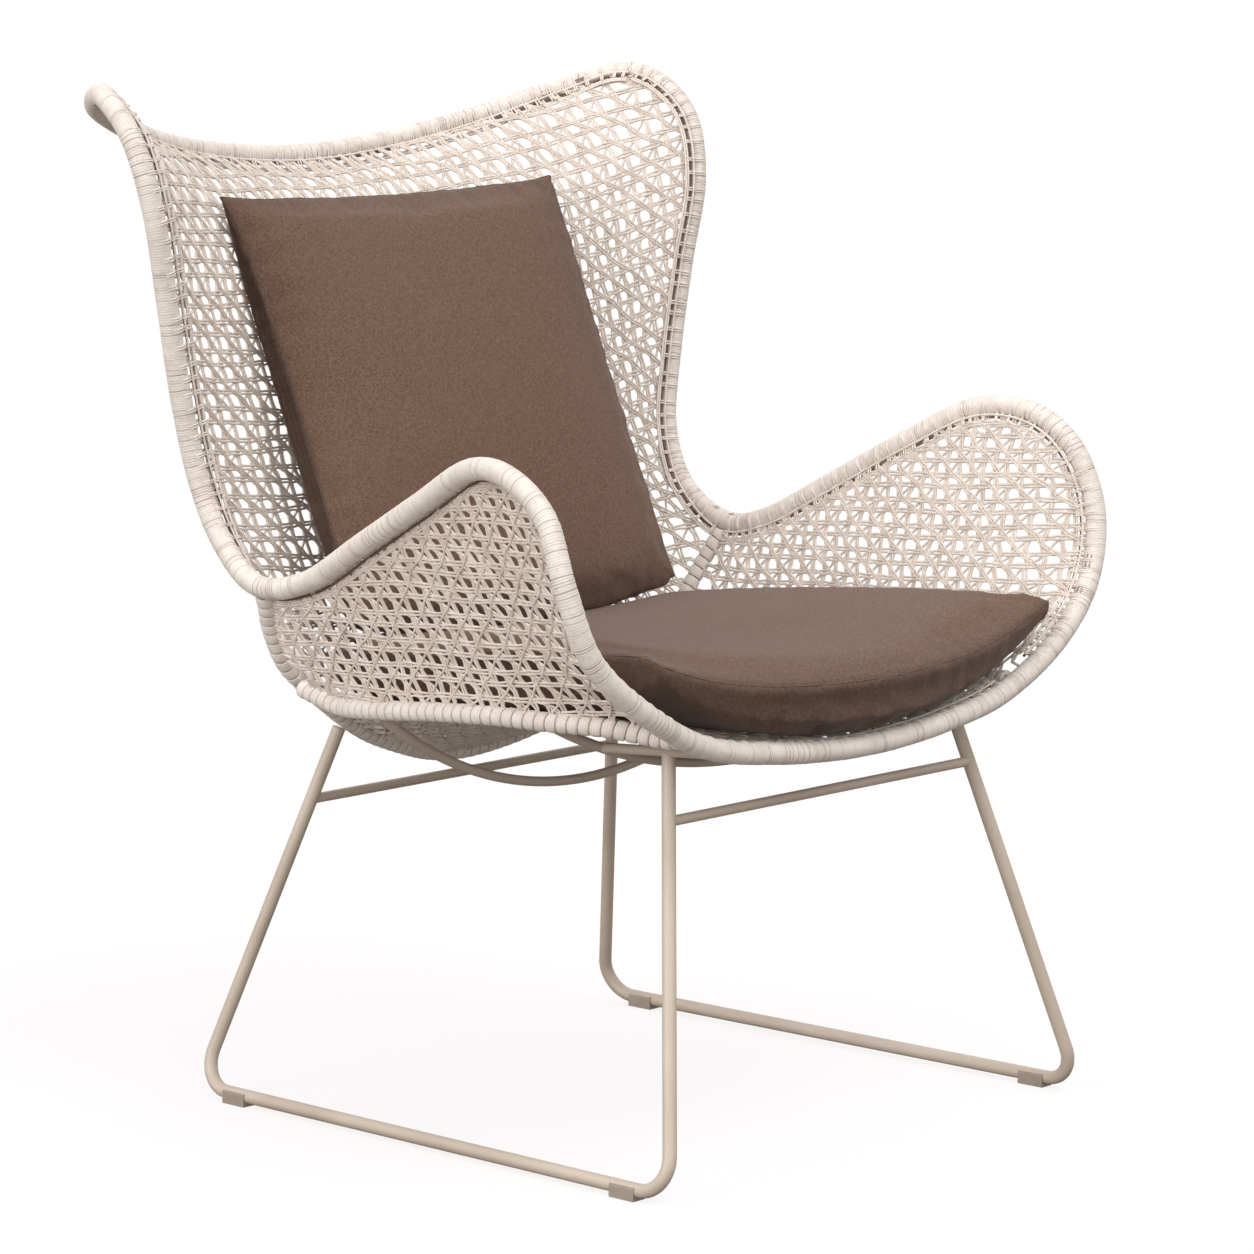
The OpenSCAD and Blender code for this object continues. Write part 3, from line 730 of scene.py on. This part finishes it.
BARS = [(rim_at(np.linspace(0, RIM_END, 1600)), RIM_R),
        (hoop_at(np.linspace(-HOOP_END, HOOP_END, 400)), HOOP_R)]
BARS += [(rail_at(np.linspace(0, RAIL_END, 300)) * (side, 1, 1), RAIL_R) for side in (1, -1)]
bar_places = np.concatenate([line for line, _ in BARS])
bar_radii = np.concatenate([np.full(len(line), radius) for line, radius in BARS])
bar_finder = finder_of(bar_places)
TIED_FROM, TIED_TO, SUNK = 0.3, 40, 1.5  # gaps that are closed, and how deep an end then lies


def tied(points):
    """Leads both ends of a strand on into the winding of the bar beside them."""
    ends = []
    for end in (points[0], points[-1]):
        _, k, far = bar_finder.find(end)
        gap, reach = far - bar_radii[k], (bar_places[k] - end) / far
        close = TIED_FROM < gap < TIED_TO
        ends.append([end + reach * gap / 2, end + reach * (gap + SUNK)] if close else [])
    return np.array(ends[0][::-1] + list(points) + ends[1])


class Weave:
    """Straight lines of a flat pattern, sent along one axis onto a panel, like a shadow. flat
    bends the lattice, whose columns and rows run over wide and tall; facing is the near side."""

    def __init__(self, grid, side, axis, facing, flat, wide, tall, seed):
        spots = grid.reshape(-1, 3) * (side, 1, 1)
        n = CELLS + 1
        corner = (np.arange(n - 1)[:, None] * n + np.arange(n - 1)).ravel()
        faces = np.stack([corner, corner + 1, corner + n + 1, corner + n], 1)
        self.tree = BVHTree.FromPolygons(spots.tolist(), faces.tolist())
        self.axis, self.across = axis, [k for k in range(3) if k != axis]
        self.low, self.high = spots[:, self.across].min(0), spots[:, self.across].max(0)
        self.facing, self.flat, self.wide, self.tall, self.seed = Vector(facing), flat, wide, tall, seed
        self.away = Vector([600.0 * (k == axis) for k in range(3)])
        self.rule = np.random.RandomState(seed + 50)

    def cast(self, flat_spots):
        """Where each flat place lands on the panel, and the panel's normal there."""
        landed, normals = np.full((len(flat_spots), 3), np.nan), np.zeros((len(flat_spots), 3))
        on = ((flat_spots >= self.low) & (flat_spots <= self.high)).all(1)
        for k in np.flatnonzero(on):
            start = Vector((0, 0, 0))
            start[self.across[0]], start[self.across[1]] = flat_spots[k]
            place, normal, _, _ = self.tree.ray_cast(start - self.away, self.away)
            if place is not None:
                landed[k] = place
                normals[k] = normal if normal.dot(self.facing) > 0 else -normal
        return landed, normals

    def lay(self, x, y, side, height):
        """The parts of a lattice line that land on the panel, as points in millimetres; side and
        height say how far the strand lies beside that line and above the panel."""
        fine = np.linspace(0, 1, 500)
        px, py = x(fine), y(fine)
        spots = self.flat(px + drift(px, py, 0.09, self.seed) + drift(3 * px, 3 * py, 0.05, self.seed + 2),
                          py + drift(px, py, 0.11, self.seed + 1) - 0.07 * np.cos(math.pi * py))
        far = travelled(spots)
        even = np.linspace(0, far[-1], int(far[-1] / 3.5) + 2)
        px, py = np.interp(even, far, px), np.interp(even, far, py)
        landed, normals = self.cast(np.stack([np.interp(even, far, spots[:, k]) for k in (0, 1)], 1))
        inside = ~np.isnan(landed[:, 0])
        edges = np.flatnonzero(np.diff(np.concatenate([[0], inside.astype(int), [0]])))
        pieces = []
        for a, b in zip(edges[::2], edges[1::2]):
            if b - a < 3:
                continue
            far = travelled(landed[a:b])
            even = np.linspace(0, far[-1], int(far[-1] / 8) + 2)
            lx, ly = np.interp(even, far, px[a:b]), np.interp(even, far, py[a:b])
            points, normal = [np.stack([np.interp(even, far, t[a:b, k]) for k in range(3)], 1)
                              for t in (landed, normals)]
            tall, spread = [np.broadcast_to(f(lx, ly), lx.shape)[:, None] for f in (height, side)]
            sideways = unit(np.cross(normal, np.gradient(points, axis=0)))
            points = points + normal * tall + sideways * spread
            pieces.append(tied(points + self.rule.normal(0, 0.25, points.shape)))
        return pieces

    # each pair of strands spreads where others cross it, and closes beside a large hole;
    # strands rise 0.6 mm over what they cross
    def bands(self):
        for k in range(*self.tall):
            for side in (-1.6, 1.6):
                yield from self.lay(
                    lambda t: mix(*self.wide, t), lambda t: np.full_like(t, k),
                    lambda x, y: side * (1 + 0.3 * np.cos(2 * math.pi * (2 * x - 0.5))),
                    lambda x, y: 0.6 * np.cos(math.pi * (2 * x - 0.5 + k)))

    def columns(self):
        for k in range(2 * self.wide[0], 2 * self.wide[1]):
            for side in (-1.5, 1.5):
                yield from self.lay(
                    lambda t: np.full_like(t, 0.25 + 0.5 * k), lambda t: mix(*self.tall, t),
                    lambda x, y: side * (1 + 0.3 * np.cos(2 * math.pi * y)),
                    lambda x, y: -0.6 * np.cos(math.pi * (y + k)))

    def diagonals(self, slope, start, height, sides):
        """Lines that move across by slope from row to row, with a strand on each of the sides."""
        low, high = self.tall
        reach = (high - low) // 2 + 2
        for k in range(self.wide[0] - reach, self.wide[1] + reach):
            for side in sides:
                yield from self.lay(
                    lambda t: start + k + slope * (mix(low, high, t) - low),
                    lambda t: mix(low, high, t), lambda x, y: side, lambda x, y: height)


def on_back(x, y):
    """Rows 14.5 mm apart that rise towards both wings; columns a little closer on one side."""
    z = 360 + 14.5 * y
    across = 30.5 / 0.02 * (1 - np.exp(-0.02 * x))
    high = z + 0.00033 * across ** 2 + 3.3e-7 * across ** 3
    lean = -0.15 * (high - 650) + 0.28 * 40 * np.log1p(np.exp((high - 820) / 40))
    return np.stack([across + lean, high], 1)


def on_arm(lean):
    """Level rows 12.9 mm apart, with 30 mm from one large hole to the next."""
    return lambda x, y: np.stack([60 - 30 * x + lean * y, 440 + 12.9 * y + 1.6 * x], 1)


def on_seat(x, y):
    """Straight rows 13 mm apart, with 30 mm from one large hole to the next."""
    return np.stack([30 * x, 13 * y], 1)


weaves = {
    "back_net": Weave(back_panel, 1, 1, (0, -1, 0), on_back, (-16, 18), (-6, 50), 3),
    "left_arm_net": Weave(arm_panel, 1, 0, (-1, 0, 0), on_arm(1.5), (-6, 16), (-4, 24), 5),
    "right_arm_net": Weave(arm_panel, -1, 0, (1, 0, 0), on_arm(4.5), (-6, 20), (-4, 24), 8),
    "seat_net": Weave(seat_panel, 1, 2, (0, 0, 1), on_seat, (-12, 12), (-32, 20), 13)}
for node, weave in weaves.items():
    for part, lines, radius in (
            ("bands", weave.bands(), 1.3), ("columns", weave.columns(), 1.25),
            ("slants", weave.diagonals(-0.5, 0.56, 0.8, (-1.3, 1.3)), 1.15),
            ("counters", weave.diagonals(0.5, 0.25, -0.8, (0.0,)), 1.3)):
        dress(cords(node.replace("net", part), list(lines), radius, weave_strand), "frame", "weave", node)

# %% [markdown]
# ## Binding and lashings
# Along every edge a pair of cords binds the weave, and a loop at each column carries it over
# the rim. Without them the strands would just stop in the air. A dark cord lies behind the
# binding as painted shade: it stands for the shaded underside of the rim.
# The loops are short open curves that start in the weave and sink into the winding.

# %% Bind the panels to the rim
LASHING_PITCH, SPREAD = 15.5, 0.014  # between pairs in mm, and half a pair along the rim


def lashing(s, reach):
    """Cords from the weave onto the rim, one pair at each place s."""
    met = math.pi / 2 + LASH
    turns, sunk = np.linspace(met + 0.1, met + 1.5, 7), np.linspace(0.7, -0.9, 7)
    lines = []
    for place in s:
        for shift in (-SPREAD, SPREAD):
            here = np.array([place + shift])
            out, inward = rim_axes(here)
            hoop = [rim_at(here)[0] + (RIM_R + d) * (math.cos(a) * out[0] + math.sin(a) * inward[0])
                    for a, d in zip(turns, sunk)]
            start = rim_edge(here)[0] + reach * unit(inward[0] - 0.25 * out[0]) - 1.4 * out[0]
            lines.append(np.array([start, rim_edge(here)[0] - 1.6 * out[0]] + hoop))
    return lines


def edge_cords(start, stop, offsets):
    """Cords that follow an edge of a panel; offsets are (into the panel, towards the sitter)."""
    s = evenly(rim_at, start, stop, 7.0)
    out, inward = rim_axes(s)
    return [rim_edge(s) + into * inward - near * out for into, near in offsets]


RULE = np.random.RandomState(77)
# where each edge starts and stops on the rim, and the panel it binds
EDGES = {"top": (-3.95, 3.95, "back_net"), "left_wing": (4.05, 10.95, "back_net"),
         "right_wing": (-10.95, -4.05, "back_net"), "left_arm": (11.2, SIDE_CORNER, "left_arm_net"),
         "right_arm": (-SIDE_CORNER, -11.2, "right_arm_net"), "front": (20.95, 27.05, "seat_net")}
for name, (start, stop, node) in EDGES.items():
    deep = 9.5 if name == "top" else 7.0
    places = evenly(rim_at, start + 0.05, stop - 0.05, LASHING_PITCH)
    places += RULE.uniform(-0.22, 0.22, len(places)) * np.gradient(places)
    dress(cords(name + "_lashings", lashing(places, deep), 1.05, winding_strand, 4), "frame", "weave", node)
    bound = edge_cords(start, stop, [(0.2, 2.2), (deep, 1.0), (deep + 2.4, 0.6)])
    dress(cords(name + "_binding", bound, 1.15, winding_strand), "frame", "weave", node)
    # painted shade: a dark cord behind the binding, for the shade under the rim
    behind = edge_cords(start, stop, [(2.6, -0.6)])
    dress(cords(name + "_painted_shade_cord", behind, 1.5, painted_shade_cord), "frame", "weave", node)

# %% [markdown]
# ## The cushions
# A stuffed cushion is crowned and tight at its seams. We copy the pad's solid, close it,
# rebuild it with small even cells and let a cloth simulation blow it up a little, with a
# limit on how far a point may go. One subdivision then smooths the result. Sculpting by hand
# could give the rest, but rules give the same cushion each time: corners are drawn out into
# ears, the cloth is drawn in along its seams, and short folds go with them. Shade is painted
# into the cloth: darker in the seams and folds, on its flanks and on its underside.

# %% Stuff the cushions
def solid_copy(node, name):
    """A closed copy of a node's mesh, with its doubles merged and its faces turned outwards."""
    bm = bmesh.new()
    bm.from_mesh(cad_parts[node].data)
    bmesh.ops.remove_doubles(bm, verts=bm.verts, dist=0.00002)
    bmesh.ops.recalc_face_normals(bm, faces=bm.faces)
    mesh = bpy.data.meshes.new(name)
    bm.to_mesh(mesh)
    bm.free()
    return placed(name, mesh)


def applied(piece):
    """Bakes a piece's modifiers into its mesh."""
    mesh = bpy.data.meshes.new_from_object(piece.evaluated_get(bpy.context.evaluated_depsgraph_get()))
    piece.modifiers.clear()
    piece.data = mesh


CELL, SLIMMER, LIMIT = 0.0055, 0.002, 0.008  # in metres
PRESSURE, FRAMES = 3.0, 20
PINCH = 1.3  # how deep a seam is drawn in, in millimetres


def remeshed(piece):
    """Rebuilds a closed piece with small even cells."""
    step = piece.modifiers.new("cells", "REMESH")
    step.mode = "VOXEL"
    step.voxel_size = CELL
    step.use_smooth_shade = True
    applied(piece)


def stuffed(piece, hold):
    """Blows a closed piece up by cloth, within the limit, and holds it where it is sewn."""
    start = spots_of(piece.data)
    cloth = piece.modifiers.new("stuffing", "CLOTH")
    cloth.settings.use_pressure = True
    cloth.settings.uniform_pressure_force = PRESSURE
    cloth.settings.effector_weights.gravity = 0
    cloth.settings.quality = 5
    cloth.settings.tension_stiffness = 15
    cloth.settings.bending_stiffness = 0.5
    cloth.point_cache.frame_end = FRAMES
    for number in range(1, FRAMES + 1):
        scene.frame_set(number)
    applied(piece)
    scene.frame_set(1)
    moved = spots_of(piece.data) - start
    far = np.linalg.norm(moved, axis=1, keepdims=True)
    share = np.minimum(1, LIMIT / np.maximum(far, 1e-9)) * (1 - hold)[:, None]
    move_to(piece.data, start + moved * share)
    print("%s: moved %.1f mm at most" % (piece.name, (far * share).max() / MM))


LEAN = math.radians(23.3)  # how far the back cushion leans back
BACK_UP = np.array([0, math.sin(LEAN), math.cos(LEAN)])
BACK_FRONT = np.array([0, -BACK_UP[2], BACK_UP[1]])
BACK_FOOT = np.array([0, 80.8, 487])  # the middle of its lower edge
SEAT_TOP, SEAT_FRONT = 508, -331  # how high the seat cushion's side seams start, and from where they fall


def back_seam(u, v, face):
    """Places on a seam of the back cushion: u across and v up, both from 0 to 1."""
    bow, sag = np.sin(np.pi * v), np.sin(np.pi * u)
    half = 237 - 7 * bow
    length = 452 * v - 7 * sag * np.where(v > 0.5, 2 * v - 1, 0) - 28 * np.sqrt(sag) * (1 - v) ** 3
    edge = 15 * bow ** 0.4 * np.maximum(sag, 0.3) ** 0.15
    return (BACK_FOOT + ((2 * u - 1) * half)[:, None] * (1, 0, 0)
            + length[:, None] * BACK_UP + (face * edge - 4 * bow)[:, None] * BACK_FRONT)


def seat_seam(u, v):
    """Places on the upper seam of the seat cushion: u across and v from front to back."""
    x = (2 * u - 1) * (mix(285, 252, v) - 8 * np.sin(np.pi * v))
    y = mix(mix(-413, -375, np.abs(2 * u - 1) ** 1.6), 108, v)
    side = np.where(y < SEAT_FRONT, SEAT_TOP - 11 * ((SEAT_FRONT - y) / 44) ** 2,
                    SEAT_TOP - 43 * np.maximum(0, (y - SEAT_FRONT) / 454) ** 1.3)
    middle = mix(463, 445, v)
    return np.stack([x, y, middle + (side - middle) * (np.abs(x) / 285) ** 1.8], 1)


along = np.linspace(0.004, 0.996, 160)
low, high = np.full_like(along, 0.004), np.full_like(along, 0.996)
round_the_edge = ((along, low), (high, along), (along[::-1], high), (low, along[::-1]))
back_seams = [np.concatenate([back_seam(u, v, face) for u, v in round_the_edge]) for face in (1, -1)]
seat_seams = [np.concatenate([seat_seam(u, v) for u, v in round_the_edge])]


def near_seams(spots, seams):
    """For each spot, how far the nearest seam is, and the place along that seam."""
    finder = finder_of(np.concatenate(seams))
    places = np.concatenate([travelled(line) for line in seams])
    found = [finder.find(spot) for spot in spots]
    return np.array([f[2] for f in found]), places[[f[1] for f in found]]


def eared(spots, tips):
    """Draws points near a cushion's corners out towards the tips of those corners."""
    for tip, reach in tips:
        gap = np.array(tip) - spots
        near = 0.45 * np.exp(-(np.linalg.norm(gap, axis=1) / reach) ** 2)
        spots = spots + gap * near[:, None]
    return spots


def pinched(mesh, seams, folds, thickness, flank_shade, underside_shade):
    """Draws the cloth in along its seams, with soft folds that run out from them, and marks
    where shade is painted: in the seams and folds, on its flanks and on its underside."""
    spots, normal = spots_of(mesh) / MM, normals_of(mesh)
    away, s = near_seams(spots, seams)
    wave = np.sin(s / 9) * np.sin(s / 23 + 1) + 0.5 * np.sin(s / 6 + 2 * np.sin(s / 60))
    short = np.sin(s / 3.9 + 2 * np.sin(s / 31)) * np.sin(s / 47 + 2 * np.sin(s / 101))
    push = folds * (wave * np.exp(-away / 24) + 0.8 * short * np.exp(-away / 13)) * (1 - np.exp(-away / 7))
    drawn_in = PINCH * np.exp(-(away / 4) ** 2)
    move_to(mesh, (spots + normal * (push - drawn_in)[:, None]) * MM)
    # painted shade: darker on the flanks, underneath, near the seams and in the fold valleys
    level = np.clip(normal[:, 2], -1, 1)
    dark = (flank_shade * (1 - np.abs(normal @ thickness)) ** 2 * (1 - np.clip(level, 0, 1))
            + underside_shade * np.clip(-level, 0, 1) + 0.22 * np.exp(-away / 20) + 0.1 * np.clip(-push, 0, 1.5))
    mark_crease_shade(mesh, np.clip(dark, 0, 0.8))


def seam_cords(piece, name, body, seams):
    """Thin dark threads that lie in the seams, snapped onto the finished cloth."""
    bm = bmesh.new()
    bm.from_mesh(piece.data)
    tree = BVHTree.FromBMesh(bm)
    lines = []
    for line in seams:
        found = [tree.find_nearest(Vector(spot) * MM) for spot in line[::3]]
        lines.append(np.array([place + normal * 0.0001 for place, normal, _, _ in found]) / MM)
    bm.free()
    dress(cords(name, lines, 0.55, seam_thread, 4), body, "cushion_fabric")


def cushion(node, name, body, seams, tips, folds, thickness, flank_shade, underside_shade):
    """A stuffed cushion in place of a plain pad. folds is how high they stand, in millimetres;
    the last two say how much shade is painted on its sides and on its underside."""
    piece = solid_copy(node, name)
    remeshed(piece)
    spots = spots_of(piece.data)
    away, _ = near_seams(spots / MM, seams)
    hold = np.exp(-(away / 22) ** 2)
    move_to(piece.data, spots - normals_of(piece.data) * SLIMMER * (1 - hold)[:, None])
    stuffed(piece, hold)
    smooth = piece.modifiers.new("smooth", "SUBSURF")
    smooth.levels = smooth.render_levels = 1
    applied(piece)
    move_to(piece.data, eared(spots_of(piece.data) / MM, tips) * MM)
    piece.data.update()
    seams = [eared(line, tips) for line in seams]
    pinched(piece.data, seams, folds, thickness, flank_shade, underside_shade)
    piece.data.shade_smooth()
    piece.data.materials.clear()
    piece.data.materials.append(brown_cloth)
    dress(piece, body, "cushion_fabric", node)
    seam_cords(piece, name + "_seam", body, seams)


seat_tips = [((side * 302, -391, 516), 60) for side in (-1, 1)]
back_tips = [(BACK_FOOT + (side * 246, 0, 0) + up * BACK_UP, 34) for side in (-1, 1) for up in (-3, 461)]
cushion("seat_cushion", "seat_pad", "seat_cushion", seat_seams, seat_tips,
        folds=1.1, thickness=(0, 0, 1), flank_shade=0.1, underside_shade=0.7)
cushion("back_cushion", "back_pad", "back_cushion", back_seams, back_tips,
        folds=1.6, thickness=BACK_FRONT, flank_shade=0.65, underside_shade=0.6)

# %% [markdown]
# ## The studio
# A white floor and a plain white room. Three wide soft suns shine: one from high in front, one
# from the sitter's right and a low one from beside the camera. The room fills the shadows.
# Lamps close by would leave bright spots on the floor; suns and room reach all of it evenly.
# To the camera the floor is veiled with white, so only a faint shadow is left on it.

# %% Light the studio
def chosen(tree, factor, first, second):
    """A blend of two shaders, from the first to the second as the factor rises."""
    node = tree.nodes.new("ShaderNodeMixShader")
    for socket, value in zip(node.inputs, (factor, first, second)):
        tree.links.new(value, socket)
    return node.outputs[0]


floor_mesh = bpy.data.meshes.new("floor")
bm = bmesh.new()
bmesh.ops.create_grid(bm, x_segments=2, y_segments=2, size=120)
bm.to_mesh(floor_mesh)
bm.free()
floor = placed("floor", floor_mesh)
white, tree, shader, place = started("floor_white", Roughness=0.9, Specular_IOR_Level=0.0)
tone = varied(tree, place, 0.6, 40.0)
rays = tree.nodes.new("ShaderNodeLightPath")
pale = between(tree, tone["Patches"], (252, 252, 252), (255, 255, 255))
shown = blended(tree, rays.outputs["Is Camera Ray"], (118, 113, 108), pale)
tree.links.new(shown, shader.inputs["Base Color"])
glow = add(tree, "Emission", Color=(1.0, 0.985, 0.98, 1), Strength=1.0)
veil = maths(tree, "MULTIPLY", rays.outputs["Is Camera Ray"], 0.84)
veiled = chosen(tree, veil, shader.outputs[0], glow.outputs[0])
tree.links.new(veiled, tree.nodes["Material Output"].inputs["Surface"])
floor_mesh.materials.append(white)

world = bpy.data.worlds.new("room")
scene.world = world
world.use_nodes = True
sky = world.node_tree
fill = sky.nodes["Background"]
fill.inputs["Color"].default_value = (1, 1, 1, 1)
fill.inputs["Strength"].default_value = 0.85
seen = add(sky, "Background", Color=(1, 1, 1, 1), Strength=1.0)
rays = sky.nodes.new("ShaderNodeLightPath")
in_sight = maths(sky, "MAXIMUM", rays.outputs["Is Camera Ray"], rays.outputs["Is Glossy Ray"])
room = chosen(sky, in_sight, fill.outputs[0], seen.outputs[0])
sky.links.new(room, sky.nodes["World Output"].inputs["Surface"])


def sun(name, azimuth, elevation, strength, angle):
    """A sun that shines on the chair from an angle; a wide one gives soft shadows."""
    lamp = bpy.data.lights.new(name, "SUN")
    lamp.energy = strength
    lamp.angle = math.radians(angle)
    placed(name, lamp).matrix_world = Matrix(aimed(azimuth, elevation)).transposed().to_4x4()


sun("key", 2, 62, 1.0, 30)
sun("side", -98, 18, 1.25, 40)
sun("front", -46, 4, 0.75, 40)
scene.view_settings.view_transform = "Standard"
print("suns:", len(bpy.data.lights))
